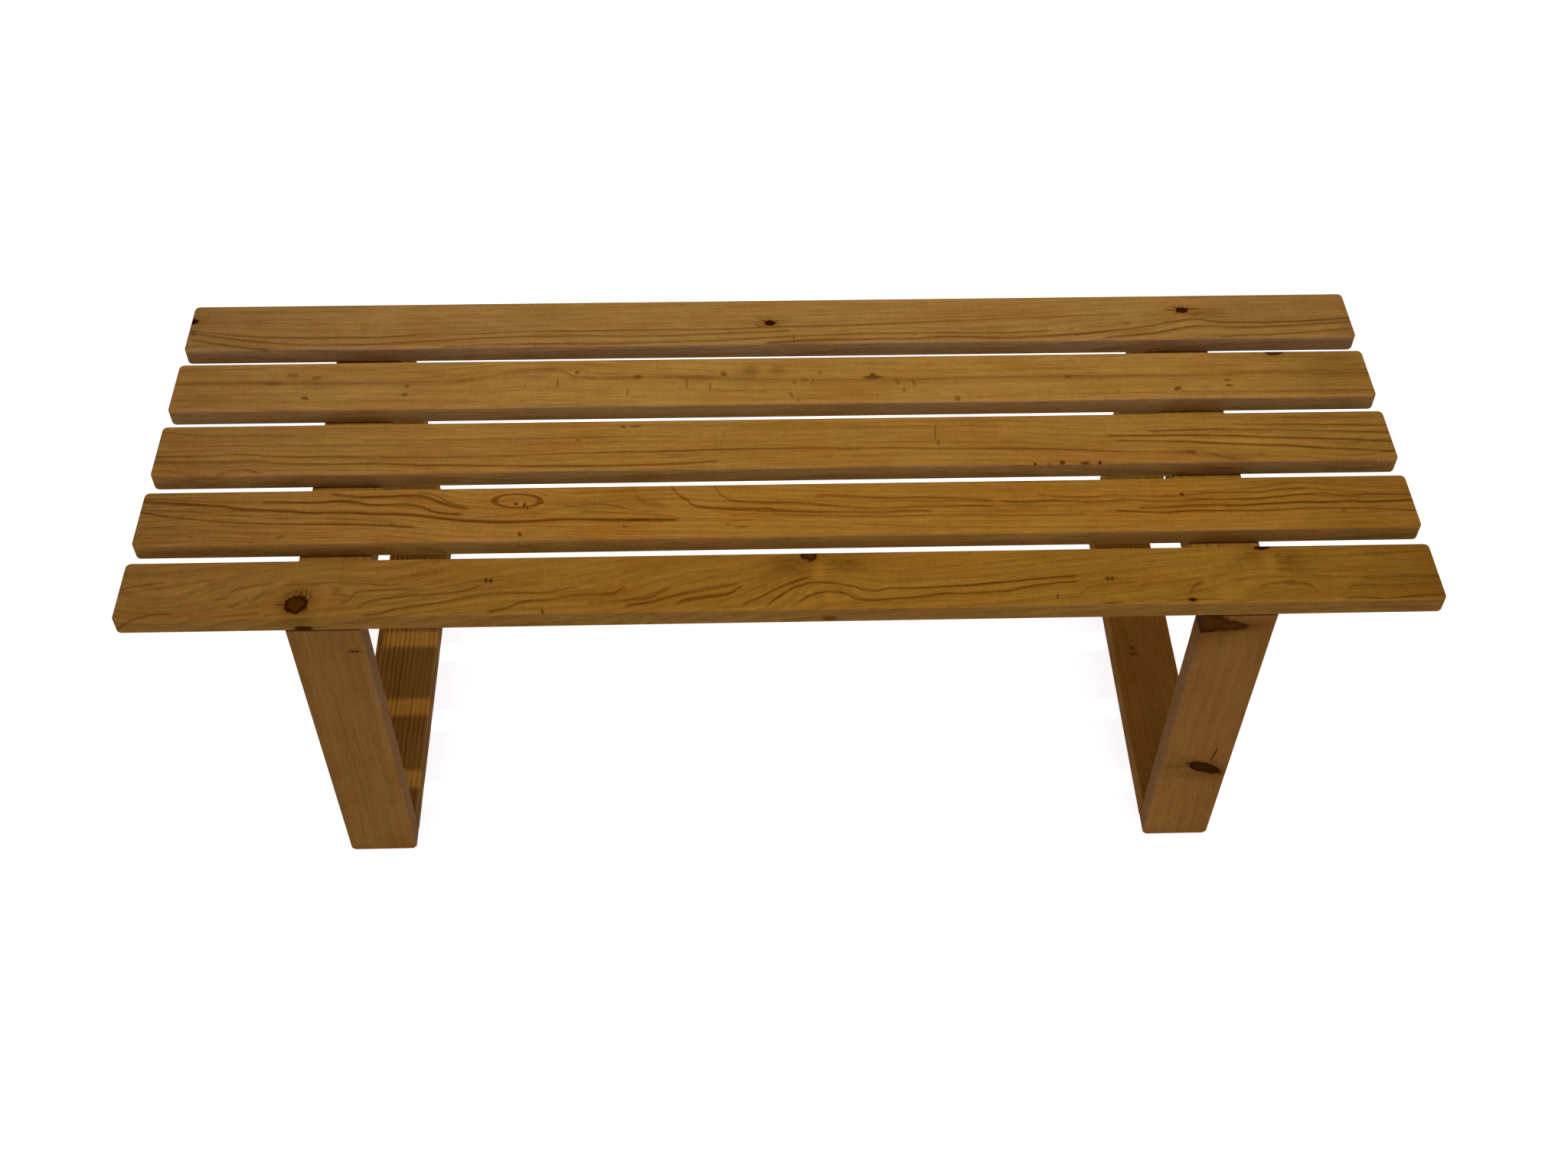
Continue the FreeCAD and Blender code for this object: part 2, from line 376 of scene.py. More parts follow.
def makeColourGroup():
    # lays the rings, fibres, knots, wear and painted light (sheen, shade and an edge highlight) over one
    # another as a colour
    halves = ("Fibre", "Streak", "Patch", "Ripple")
    zeros = (
        "Late Wood", "Lines", "Calm", "Stain", "Faded", "Ring", "Fleck", "Mark", "Knot", "Halo",
        "Core", "Edge", "Side", "End",
    )
    tree, given, made = startGroup("pineColour", {
        "Early": (0.35, 0.18, 0.03, 1), "Late": (0.15, 0.06, 0.01, 1), "Heart": (0.03, 0.01, 0.004, 1),
        "Contrast": 0.6, "Figure": 1.0, **dict.fromkeys(halves, 0.5), **dict.fromkeys(zeros, 0.0),
    }, Color="Color")

    def multiplied(colour, name):
        return blend(tree, 1.0, colour, colourLook[name], "MULTIPLY")

    calm = calc(tree, "SUBTRACT", 1.0, given["Calm"], clamp=True)
    lateAmount = times(tree, given["Late Wood"], given["Contrast"], calm)
    # a drawn line fades and comes back with the streaks that cross it
    lines = times(tree, given["Lines"], ramp(tree, given["Streak"], *colourLook["lineFade"]))
    lateAmount = calc(tree, "MAXIMUM", lateAmount, lines)
    colour = blend(tree, lateAmount, given["Early"], given["Late"])
    figure = 0.0
    for name, slope, start in colourLook["figure"]:
        figure = calc(tree, "ADD", calc(tree, "MULTIPLY_ADD", given[name], slope, start), figure)
    light = calc(tree, "MULTIPLY_ADD", figure, given["Figure"], 1.0)
    for name, slope, start in colourLook["light"]:
        light = calc(tree, "ADD", calc(tree, "MULTIPLY_ADD", given[name], slope, start), light)
    light = times(tree, light, calc(tree, "MULTIPLY_ADD", given["Fleck"], colourLook["fleck"], 1.0))
    colour = scaled(tree, colour, light)
    # stains, and the painted shade among them, make the wood redder
    redStain = times(tree, given["Stain"], colourLook["redStain"])
    redAmount = ramp(tree, given["Patch"], *colourLook["redPatch"])
    redAmount = calc(tree, "MAXIMUM", redAmount, redStain, clamp=True)
    colour = blend(tree, redAmount, colour, multiplied(colour, "redder"))
    # painted sheen: the colour turns greyer and bluer toward some ends, and bluer on the sawn sides
    paintedSheen = times(tree, given["Faded"], calc(tree, "SUBTRACT", 1.0, given["Side"]))
    colour = blend(tree, paintedSheen, colour, multiplied(colour, "paintedSheenTint"))
    colour = blend(tree, given["Side"], colour, multiplied(colour, "sideSheenTint"))
    # resin darkens and reddens the wood round a knot
    colour = blend(tree, times(tree, given["Halo"], colourLook["halo"]), colour, given["Late"])
    # a faint mark is brown and a strong one nearly black
    markShade = ramp(tree, given["Mark"], *colourLook["mark"])
    colour = blend(tree, given["Mark"], colour, blend(tree, markShade, given["Heart"], given["Late"]))
    core = times(tree, given["Core"], colourLook["core"])
    colour = blend(tree, given["Knot"], colour, blend(tree, core, given["Heart"], given["Late"]))
    colour = blend(tree, times(tree, given["End"], colourLook["end"]), colour, given["Late"])
    # lighter near every edge: worn lacquer and a painted highlight on the rounding
    edge = times(tree, given["Edge"], colourLook["edge"])
    feed(tree, made["Color"], blend(tree, edge, colour, multiplied(colour, "wornAndHighlight")))
    return tree


spotGroup = makeSpotGroup()
lineGroup = makeLineGroup()
markGroup = makeMarkGroup()
knotGroup = makeKnotGroup()
grainGroup = makeGrainGroup()
fibreGroup = makeFibreGroup()
edgeGroup = makeEdgeGroup()
colourGroup = makeColourGroup()
print("wood effects built")


# how every material starts and ends

def turnFor(direction):
    # turns the bench's frame into the board's: X along the grain, Y across, Z through the thickness
    if direction == "upright":
        return Matrix(((0, 0, 1), (1, 0, 0), (0, 1, 0)))
    if direction == "deep":
        return Matrix(((0, 1, 0), (-1, 0, 0), (0, 0, 1)))
    return Matrix.Identity(3)


def startTree(owner):
    # the node tree of a new material or world, emptied
    owner.use_nodes = True
    owner.node_tree.nodes.clear()
    return owner.node_tree


def startMaterial(name, direction="along", middle=Vector((0, 0, 0))):
    # a material without a shader yet, and the place on the piece in millimetres from the middle
    material = bpy.data.materials.new(name)
    tree = startTree(material)
    place = addNode(tree, "Mapping", vector_type="POINT")
    place.inputs["Scale"].default_value = (1 / mm,) * 3
    place.inputs["Rotation"].default_value = turnFor(direction).to_euler()
    place.inputs["Location"].default_value = -middle / mm
    feed(tree, place.inputs["Vector"], addNode(tree, "TexCoord").outputs["Object"])
    return material, tree, place.outputs["Vector"]


def putOut(tree, shader, kind="Material"):
    feed(tree, addNode(tree, "Output" + kind).inputs["Surface"], shader.outputs[0])


def shadeWith(tree, colour, rough, height, look, **fixed):
    # the shader, fed by what changes over the surface; fixed values are set on its own sockets
    shader = addNode(tree, "BsdfPrincipled")
    bump = addNode(tree, "Bump")
    bump.inputs["Strength"].default_value = look["bumpStrength"]
    bump.inputs["Distance"].default_value = look["bumpDistance"]
    feed(tree, bump.inputs["Height"], height)
    feed(tree, shader.inputs["Base Color"], colour)
    feed(tree, shader.inputs["Roughness"], rough)
    feed(tree, shader.inputs["Normal"], bump.outputs["Normal"])
    for name, value in fixed.items():
        shader.inputs[name.replace("_", " ")].default_value = value
    putOut(tree, shader)


def dress(nodeName, material):
    slots = nodes[nodeName].data.materials
    slots.clear()
    slots.append(material)


# lacquered pine, one material for each board, because no two boards share their knots

pineLook = {
    "early": (0.300, 0.145, 0.0215), "late": (0.126, 0.044, 0.0026), "heart": (0.026, 0.0040, 0.0),
    "roughness": 0.58, "roughnessSpread": 0.16, "endRougher": 0.25, "lateRougher": -0.06,
    "specular": 0.003, "bumpStrength": 0.35, "bumpDistance": 0.0004,
    "lineRagged": 1.4, "wornAndHighlightWidth": 3.2,  # millimetres
}
boardDefaults = {
    "direction": "along",  # how the grain runs: along the bench, upright or deep
    "faceSide": 1,  # -1 where the face that shows is the board's other one
    "drift": (0.0, 0.0), "tint": (1, 1, 1),
    "bends": [], "calm": [], "stainsAndShade": [], "paintedSheen": [], "lines": [], "knots": [], "marks": [],
}


def knot(face, along, across, length, width, dark, open=0.0, turn=0, lean=(0, 0)):
    # places and sizes in millimetres from the middle of the board's face, turn in degrees
    return {
        "Centre": (along, across, face), "Size": (length / 2, width / 2, knotLook["through"]),
        "Darkness": dark, "Openness": open, "Lean": (*lean, 0), "Turn": math.radians(turn),
    }


def mark(face, along, across, length, width, dark, turn=0, level=None, deep=3.0, hollow=0.0):
    # like a knot, at a level of its own where it isn't on the face
    return {
        "Centre": (along, across, face if level is None else level), "Darkness": dark,
        "Tightness": (2 / length, 2 / width, 1 / deep), "Turn": math.radians(turn), "Hollow": hollow,
    }


def drawCurve(tree, share, points):
    # the line's height over its length, through (along, across) points in millimetres
    node = addNode(tree, "FloatCurve")
    curve = node.mapping.curves[0]
    start, end = points[0][0], points[-1][0]
    while len(curve.points) < len(points):
        curve.points.new(0.5, 0.5)
    for point, (along, across) in zip(curve.points, points):
        point.location = ((along - start) / (end - start), across / lineLook["span"] + 0.5)
        point.handle_type = "AUTO_CLAMPED"
    node.mapping.update()
    feed(tree, node.inputs["Value"], share)
    return node.outputs[0]


def sumSpots(tree, vector, spots):
    total = 0.0
    for along, across, amount, spreadAlong, spreadAcross in spots:
        total = useGroup(
            tree, spotGroup, Vector=vector, Centre=(along, across, 0),
            Tightness=(1 / spreadAlong, 1 / spreadAcross, 0), Amount=amount, Sum=total,
        )["Sum"]
    return total


def drawLines(tree, vector, ringAcross, lines):
    along = splitVector(tree, vector)[0]
    total = 0.0
    for strength, width, points in lines:
        start, end = points[0][0], points[-1][0]
        share = ramp(tree, along, start, end, kind="LINEAR")
        total = useGroup(
            tree, lineGroup, Across=ringAcross, Share=share, Height=drawCurve(tree, share, points),
            Length=end - start, Width=width, Strength=strength, Lines=total,
        )["Lines"]
    return total


def darkSpots(tree, vector, ragged, look, face):
    # the masks of all knots and marks
    dark = {"Knot": 0.0, "Halo": 0.0, "Core": 0.0}
    for row in look["knots"]:
        dark = dict(useGroup(tree, knotGroup, Vector=vector, **knot(face, *row), **dark).items())
    dark["Mark"] = 0.0
    for row in look["marks"]:
        placed = mark(face, *row)
        made = useGroup(tree, markGroup, Vector=vector, Ragged=ragged, Mark=dark["Mark"], **placed)
        dark["Mark"] = made["Mark"]
    return dark


def pineMaterial(nodeName, look):
    low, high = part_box(nodeName)
    turn = turnFor(look["direction"])
    middle = turn @ ((low + high) / 2)
    half = [abs(value) / mm for value in turn @ ((high - low) / 2)]
    face = half[2] * look["faceSide"]
    material, tree, vector = startMaterial(nodeName + "Pine", look["direction"], middle)
    bends, calm, stainsAndShade, paintedSheen = [
        sumSpots(tree, vector, look[kind]) for kind in ("bends", "calm", "stainsAndShade", "paintedSheen")
    ]
    grain = useGroup(
        tree, grainGroup, Vector=vector, Pith=(0, *look["pith"]), Drift=(0, *look["drift"]),
        Ring_Width=look["ringWidth"], Wander=look["wander"], Wander_Length=look["wanderLength"],
        Curl=look["curl"], Curl_Length=look["curlLength"], Bulge=bends, Face=face, Seed=look["seed"],
    )
    fibre = dict(useGroup(
        tree, fibreGroup, Vector=vector, Flow=grain["Flow"], Seed=look["seed"],
    ).items())
    ragged = fibre.pop("Ragged")
    grit = fibre.pop("Grit")
    across = calc(tree, "MULTIPLY_ADD", ragged, pineLook["lineRagged"], grain["Across"])
    across = calc(tree, "SUBTRACT", across, pineLook["lineRagged"] / 2)
    edge = dict(useGroup(
        tree, edgeGroup, Vector=vector, Half=half, Width=pineLook["wornAndHighlightWidth"],
    ).items())
    early, late = [
        tuple(channel * share for channel, share in zip(pineLook[name], look["tint"])) + (1,)
        for name in ("early", "late")
    ]
    colour = useGroup(
        tree, colourGroup, Early=early, Late=late, Heart=pineLook["heart"] + (1,),
        Late_Wood=grain["Late Wood"], Ring=grain["Ring"], Contrast=look["contrast"],
        Figure=look["figure"], Lines=drawLines(tree, vector, across, look["lines"]), Calm=calm,
        Stain=stainsAndShade, Faded=paintedSheen, **fibre, **edge, **darkSpots(tree, vector, ragged, look, face),
    )["Color"]
    rough = spread(tree, fibre["Patch"], pineLook["roughness"], pineLook["roughnessSpread"])
    rough = calc(tree, "MULTIPLY_ADD", edge["End"], pineLook["endRougher"], rough)
    rough = calc(tree, "MULTIPLY_ADD", grain["Late Wood"], pineLook["lateRougher"], rough)
    shadeWith(tree, colour, rough, grit, pineLook, Specular_IOR_Level=pineLook["specular"])
    return material


# pith is the middle of a board's rings as (across, through), and drift its move for each millimetre
# along; wander and curl bend the rings slowly and quickly, figure is how strongly the fibres show,
# and contrast how dark the rings are between the drawn lines
# the tables have millimetres from the middle of the face, and turns in degrees:
# bends, calm, stains and painted shade, and painted sheen have (along, across, amount, spread along, spread
# across),
# lines have (strength, width, [(along, across), ...]),
# knots have (along, across, length, width, darkness, openness, turn, lean),
# marks have (along, across, length, width, darkness, turn, level, depth, hollowness)

# seat slats, 1 at the front to 5 at the rear

slat1Look = {
    "pith": (-110, -60), "drift": (0.085, 0.0), "ringWidth": 7.5, "contrast": 0.22, "seed": 1.0,
    # the slats' tints grow bluer and mostly lighter from slat 1 to slat 5: painted sheen, the reflection
    # that grows toward the rear
    "tint": (0.84, 0.80, 0.6),
    "bends": [
        (-440, -19, -27.3, 220, 60), (330, 8, 8.8, 220, 60), (38, -6, 22.8, 45, 22),
        (-172, -19, -15.1, 75, 30), (-585, -19, -21.4, 75, 30), (540, -10, 6.8, 120, 40),
        (-435, 3, 12.9, 45, 22), (128, -16, 6.0, 45, 22), (442, -6, 7.1, 45, 22),
    ],
    "lines": [
        (0.59, 3, [(-628, 0.4), (-590, 8), (-575, 10)]),
        (0.39, 3, [(-628, -5.5), (-528, 13)]),
        (0.46, 3.4, [(-541, -6.2), (-531, 0.3), (-516, 6.9)]),
        (0.46, 3.1, [(-545, 2.5), (-538, 5.8), (-527, 9)]),
        (0.52, 3.4, [
            (-536, -12), (-527, -12), (-518, -10), (-514, -2.9), (-505, 1.4), (-482, 5.8), (-473, 9),
        ]),
        (0.39, 4.7, [(-520, -22.5), (-507, -19), (-502, -10.5), (-499, -4)]),
        (0.52, 5.8, [(-498, -18), (-484, -5), (-478, -2)]),
        (0.46, 2.5, [(-472, 3), (-455, 5), (-438, 5), (-425, 6.5), (-364, 1)]),
        (0.32, 2.4, [(-420, 3.2), (-400, 3.4), (-352, 1.5)]),
        (0.52, 3.4, [(-553, -35.5), (-480, -29)]),
        (0.52, 3.2, [(-628, -46.5), (-584, -30), (-562, -28.3)]),
        (0.46, 8.4, [(-426, -1), (-417, -3), (-413, -7), (-411, -14), (-410, -19)]),
        (0.59, 3.4, [(-417, -19), (-409, -18), (-404, -14), (-401, -8), (-395, -5), (-340, -3)]),
        (0.65, 3.6, [
            (-400, -32), (-396, -28), (-392, -21), (-380, -16), (-350, -11.5), (-306, -8), (-295, -5),
            (-285, -1), (-280, 2),
        ]),
        (0.72, 3.6, [
            (-395, -35), (-372, -31.5), (-362, -27), (-350, -24), (-330, -22), (-310, -18), (-290, -13),
            (-250, -9.5), (-225, -10), (-205, -6), (-190, -4.5),
        ]),
        (0.65, 4, [
            (-280, -33), (-260, -29), (-252, -25), (-240, -20.5), (-220, -19), (-207, -16), (-190, -14),
            (-160, -12.5), (-153, -8), (-145, -5),
        ]),
        (0.50, 4.1, [
            (-188, -35), (-184, -25), (-170, -22.5), (-140, -20), (-124, -17.5), (-116, -11), (-105, -6),
        ]),
        (0.72, 3.9, [(-153, -34), (-149, -29), (-130, -25), (-92, -14), (-53, -4.4), (-40, -2)]),
        (0.72, 4.7, [(-105, -34), (-102, -27), (-76, -19), (-50, -13.5), (-44, -8), (-36, -5)]),
        (0.39, 3.4, [(-68, -33), (-63, -27), (-40, -15), (-22, -7), (-10, -3)]),
        (0.81, 3.9, [(-44, -34), (-41, -29.4), (-25, -20.5), (-10, -11), (4, -3.5), (16, 1.5), (26, 4.5)]),
        (0.85, 3.1, [
            (-22, -34), (3, -12.5), (16, -6), (29, -3.2), (40, -3.6), (51, -5.5), (64, -9), (75, -13),
            (84, -14.5), (100, -11), (120, -11.5), (145, -10.5), (205, -6.5), (238, -3), (270, -0.5),
            (280, 1),
        ]),
        (0.81, 3, [
            (3, -34), (14, -25), (25, -18), (40, -15), (53, -16.5), (70, -25), (84, -26), (100, -24),
            (129, -22), (149, -19), (205, -17.5), (222, -14), (248, -9.8), (262, -8), (280, -7),
        ]),
        (0.39, 3.8, [(270, -33), (276, -22), (290, -14), (310, -11), (335, -9)]),
        (0.39, 2.7, [(328, -19), (333, -14.5), (375, -8), (398, -6)]),
        (0.59, 6.2, [(375, -31), (382, -18), (388, -13), (397, -10.5)]),
        (0.32, 2.7, [(420, -8), (490, -4), (560, -8), (628, -8)]),
        (0.39, 4, [(438, -28), (444, -19), (453, -14.5), (465, -12), (475, -11)]),
        (0.59, 5.3, [(465, -11), (481, -12.5), (492, -15), (498, -20), (502, -34)]),
        (0.52, 3.6, [(524, -34), (527, -25), (532, -18), (544, -16), (560, -17), (628, -17)]),
        (0.59, 4.1, [(520, -33), (540, -32), (560, -34), (580, -32), (628, -29.6)]),
    ],
    "calm": [(-100, 44, 1.0, 900, 36)],
    "paintedSheen": [(-600, 0, 1.0, 330, 90)],
    # the wide spots at the ends make this slat lighter toward its left end and darker toward its right end
    "stainsAndShade": [
        (2, 20, 0.32, 22, 15), (60, 20, 0.30, 22, 10), (33, 12, -0.30, 6, 13), (444, 24, 0.28, 13, 10),
        (482, 14, 0.32, 18, 14), (462, 14, -0.26, 6, 14), (600, 10, 0.12, 70, 60),
        (-429, -15, -0.20, 9, 14), (-474, -22, -0.20, 8, 7), (40, -24, -0.16, 22, 7),
        (-550, 0, -0.10, 110, 60), (150, 26, -0.08, 60, 14), (-453, -6, 0.22, 12, 6),
        (380, -16, 0.10, 16, 8),
    ],
    "knots": [
        (-453, -20, 23, 22, 1.0, 0.75, 0, (-0.1, 0.1)), (24, 33, 17, 20, 1.0, 0.8), (458, 35, 18, 13, 1.0),
        (380, -31.5, 8, 4.4, 0.95),
    ],
    "marks": [
        (-280, 5.6, 3, 6, 0.85), (-275, 5.4, 3.2, 6.5, 0.85), (-277.5, 5.2, 10, 3.6, 0.75),
        (-279, 5.2, 34, 1.7, 0.5), (-256, 3.5, 4, 3, 0.4), (304, -4, 3, 6, 0.8), (309, -4, 3, 6, 0.8),
        (306.5, -4, 11, 3.4, 0.75), (309, -3.6, 14, 1.8, 0.6), (381, -31.5, 62, 1.4, 0.6),
        (306, -33.5, 18, 1.8, 0.6), (254, -25, 3.4, 5, 0.65, 20), (-225, -33, 3, 7, 0.65, -25),
        (-463, -9, 1.6, 9, 0.5, 35), (-455, -6, 1.5, 9, 0.65, 20), (-450, -6, 1.5, 10, 0.7, 8),
        (-445, -7, 1.5, 10, 0.7, -4), (-441, -9, 1.5, 9, 0.65, -12), (-467, -20, 10, 2.2, 0.65),
        (14, 22, 1.3, 16, 0.4, -62), (6, 16, 1.3, 20, 0.35, -58), (-4, 12, 1.3, 22, 0.3, -60),
        (46, 22, 1.3, 14, 0.4, 50), (56, 18, 1.3, 16, 0.3, 58), (446, 24, 1.3, 12, 0.4, -60),
        (470, 22, 1.3, 12, 0.4, 50), (480, 17, 1.3, 16, 0.3, 58), (-447, -35, 18, 6, 0.95, 0, -6.5, 4),
        (41, -35, 16, 4, 0.65, 0, -4, 3),
    ],
}
slat2Look = {
    "pith": (-150, -40), "ringWidth": 6.0, "contrast": 0.26, "seed": 2.0, "tint": (1.0, 0.95, 0.8),
    "bends": [
        (-550, 8, 25.3, 220, 60), (440, -19, -7.5, 220, 60), (-120, 26, 12.4, 120, 40),
        (-360, 35, 15.0, 75, 30), (120, -46, -4.0, 120, 40), (-390, -36, 5.7, 45, 22),
        (-254, 33, 13.3, 28, 16), (510, 23, 8.0, 45, 22),
    ],
    "lines": [
        (0.80, 3.1, [
            (-628, 10.5), (-577, -0.7), (-468, -10.5), (-438, -10.8), (-408, -12.3), (-349, -16.6),
        ]),
        (0.40, 2.8, [(-628, 12.1), (-560, 6.9), (-503, -0.7), (-418, -5), (-386, -7.3), (-368, -9.4)]),
        (0.90, 4.4, [
            (-628, 22.6), (-545, 15), (-521, 10.5), (-473, 6.5), (-455, 4.3), (-421, 4.3), (-400, 2.5),
            (-364, 0.6), (-299, -10), (-268, -11.6), (-205, -8.8), (-147, -11), (-97, -11.6),
        ]),
        (0.47, 3, [(-628, 25.9), (-570, 22), (-505, 19)]),
        (0.90, 4.3, [
            (-508, 19.5), (-451, 17.7), (-432, 19), (-416, 17.5), (-395, 13.4), (-375, 13.8), (-353, 11.2),
            (-335, 3), (-322, 0.5), (-305, -0.5),
        ]),
        (0.80, 4.2, [
            (-442, 29.7), (-408, 24.5), (-386, 24.3), (-364, 25.5), (-350, 24), (-325, 12), (-312, 8),
            (-300, 6),
        ]),
        (0.47, 4.2, [(-360, 29), (-345, 28), (-335, 24), (-326, 17), (-316, 12), (-303, 8)]),
        (0.40, 2.5, [(-300, -5), (-270, -3.5), (-245, -1), (-225, 0)]),
        (0.53, 3, [(-215, 8), (-200, 8.5), (-188, 11), (-175, 11), (-164, 8.5), (-150, 4), (-138, 1)]),
        (0.47, 3.1, [(-200, 0.3), (-188, 0.3), (-140, -3), (-120, -5), (-100, -8)]),
        (0.37, 8, [(-151, 49), (-147, 38), (-143, 26), (-139, 17), (-133, 12), (-110, 5)]),
        (0.76, 4.3, [
            (-118, 49), (-111, 39), (-104, 27), (-99, 20), (-91, 14), (-88, 8.5), (-82, 6), (-58, 2.1),
            (-40, 1), (-14, 1), (-4, -1.2), (62, -4.4), (94, -5.5), (120, -5), (150, -5.5),
        ]),
        (0.70, 4.2, [
            (-74, 49), (-68, 38), (-62, 26), (-55, 17), (-46, 12.5), (-19, 9.8), (14, 8.6), (73, 1),
            (112, -0.5), (129, 1), (160, 1), (210, -0.5),
        ]),
        (0.66, 4.4, [(30, 18.5), (68, 16.5), (88, 14), (116, 12.4), (138, 13), (170, 11.5), (210, 7)]),
        (0.74, 3.6, [
            (210, 6.6), (235, 4.9), (255, 6), (281, 5.4), (305, 3.8), (322, 4.3), (335, 6), (362, 3.6),
            (392, 3.4), (412, 4.6), (455, 4.4), (488, 7), (509, 9.5), (531, 10.8), (545, 8), (560, 7),
            (575, 8.6), (628, 7),
        ]),
        (0.66, 3.3, [
            (248, 16.5), (262, 13), (307, 10.9), (327, 12.5), (379, 10), (401, 11.3), (422, 13.6),
            (466, 13.5), (490, 17), (520, 18),
        ]),
        (0.40, 2.4, [(205, -0.5), (227, 0.6), (248, -1), (270, -0.5), (320, -1.6)]),
        (0.90, 3.2, [
            (344, -5.4), (379, -4.9), (400, -3.2), (422, -2.9), (444, -3.8), (509, -0.6), (530, -1.4),
            (553, -0.2), (575, -1.5), (628, 0.8),
        ]),
        (0.80, 2.7, [
            (320, -8), (370, -11.4), (400, -9.8), (455, -11.8), (520, -9.5), (544, -9.4), (628, -15),
        ]),
        (0.47, 2.4, [(-14, -5), (20, -8), (110, -11), (160, -10.5), (230, -13), (300, -12)]),
        (0.40, 2.4, [(60, -20), (170, -27), (350, -30)]),
        (0.33, 2.2, [(-628, -9.2), (-560, -16), (-520, -19), (-480, -21), (-430, -22)]),
        (0.27, 2.1, [(-628, -19.7), (-480, -28), (-400, -28), (-340, -30)]),
    ],
    "calm": [(-60, -34, 0.75, 460, 20), (400, -30, 0.6, 300, 14)],
    "paintedSheen": [(-600, 0, 0.9, 330, 90)],
    # the wide spots at the ends make this slat darker toward both ends
    "stainsAndShade": [
        (470, 28, 0.16, 30, 6), (530, 27, 0.18, 26, 5), (-150, 24, 0.12, 30, 8), (-40, 25, 0.08, 20, 8),
        (-620, -10, 0.08, 60, 60), (-255, 14, -0.10, 26, 12), (570, 0, 0.12, 110, 60),
    ],
    "marks": [
        (-257, 16, 45, 18, 0.69, 2, None, 3.0, 1.0), (-258, 12, 5, 4, 0.8, 30), (-250, 10, 3, 9, 0.8, 12),
        (-247, 7, 3, 5, 0.75), (-252, -28, 3.4, 6, 0.8, -15), (-480, -27, 10, 4, 0.46, -20),
        (-375, -12.5, 8, 2.4, 0.57), (393, 12, 4.6, 4, 0.9, 25), (436, -4, 2.2, 5, 0.69),
        (437, -11, 1.5, 10, 0.34), (-139, -11, 26, 3, 0.69), (-152, -20, 6, 3, 0.57),
        (-38, -13.6, 24, 1.8, 0.57), (-44, -8, 14, 1.6, 0.52), (-53, -19, 4, 3, 0.57),
        (-40, -23, 12, 3, 0.52), (-14, -3, 26, 2.6, 0.52), (548, -13, 6, 5, 0.46),
    ],
}
slat3Look = {
    "pith": (-120, -55), "ringWidth": 6.8, "contrast": 0.22, "seed": 3.0, "tint": (1.0, 1.0, 1.1),
    "bends": [
        (550, -19, -17.1, 220, 60), (-220, -46, -8.3, 220, 60), (-562, -39, -7.9, 28, 16),
        (578, -26, -6.9, 45, 22), (315, 8, -3.7, 75, 30), (-172, 8, 2.4, 75, 30), (-548, -10, 3.4, 28, 16),
    ],
    "paintedSheen": [(-600, 0, 0.45, 330, 90)],
    "lines": [
        (0.62, 3.5, [
            (-628, -7.5), (-571, -8.3), (-538, -6.2), (-521, -7.3), (-503, -9.4), (-473, -10.5),
            (-299, -13.8), (-166, -10.5), (-119, -10.3), (-36, -8.3), (-1, -8.8), (29, -8.3), (73, -9.9),
            (116, -9.9), (160, -12), (257, -14), (357, -19.7), (420, -22),
        ]),
        (0.41, 4.2, [(420, -22), (431, -24), (445, -29), (461, -33)]),
        (0.70, 3.8, [
            (-628, -14.8), (-560, -16), (-527, -15.5), (-495, -19.2), (-473, -20.3), (-440, -21.8),
            (-408, -20.9), (-375, -23.1), (-277, -27.5), (-156, -29), (-112, -28), (-58, -25),
        ]),
        (0.58, 3.7, [
            (-560, -34.5), (-551, -32), (-542, -28.5), (-532, -27), (-522, -28.5), (-514, -32.5),
            (-509, -36),
        ]),
        (0.29, 2.6, [(-628, 7.3), (-440, 5), (-300, 4.5), (-100, 5)]),
        (0.26, 2.6, [(-420, 10.5), (-90, 11)]),
        (0.41, 3, [(-628, 27.8), (-577, 21), (-521, 18.8), (-480, 18.5)]),
        (0.74, 3.2, [(457, 17.5), (531, 15.8), (628, 12.1)]),
        (0.74, 3.2, [(370, 9.2), (422, 10.3), (553, 6), (628, 1.8)]),
        (0.80, 3.3, [(327, 3.8), (444, 1.6), (477, -1), (553, -4.9), (628, -11.1)]),
        (0.80, 3.3, [
            (335, -3.8), (400, -6), (455, -11.4), (488, -13.6), (509, -14), (542, -17.9), (565, -19.5),
            (628, -26),
        ]),
    ],
    "calm": [(-120, 20, 0.75, 420, 24), (60, -28, 0.8, 200, 13)],
    # the wide spot at the right end makes this slat darker there
    "stainsAndShade": [
        (-531, -35, -0.14, 16, 6), (540, 30, 0.14, 90, 12), (413, -22, 0.16, 12, 4),
        (455, -30, 0.12, 16, 6), (590, -14, 0.12, 40, 24),
    ],
    "marks": [
        (-157, 25, 6, 2.6, 0.8, 20), (-145, 25.5, 14, 2, 0.75), (-202, 7, 5, 2.6, 0.69),
        (254, -34.5, 4, 3, 0.8), (281, -33.5, 6, 4, 0.85), (304, -34.5, 10, 3.4, 0.8),
        (319, -34, 4, 4, 0.85), (268, -34.5, 5, 2, 0.57), (158, 12, 1.8, 22, 0.52, 4),
        (160, -3, 3, 8, 0.57), (413, -21.5, 11, 5, 0.57, 20), (483, -26, 9, 4, 0.34),
        (-55, 12, 1.4, 14, 0.34, 10),
    ],
}
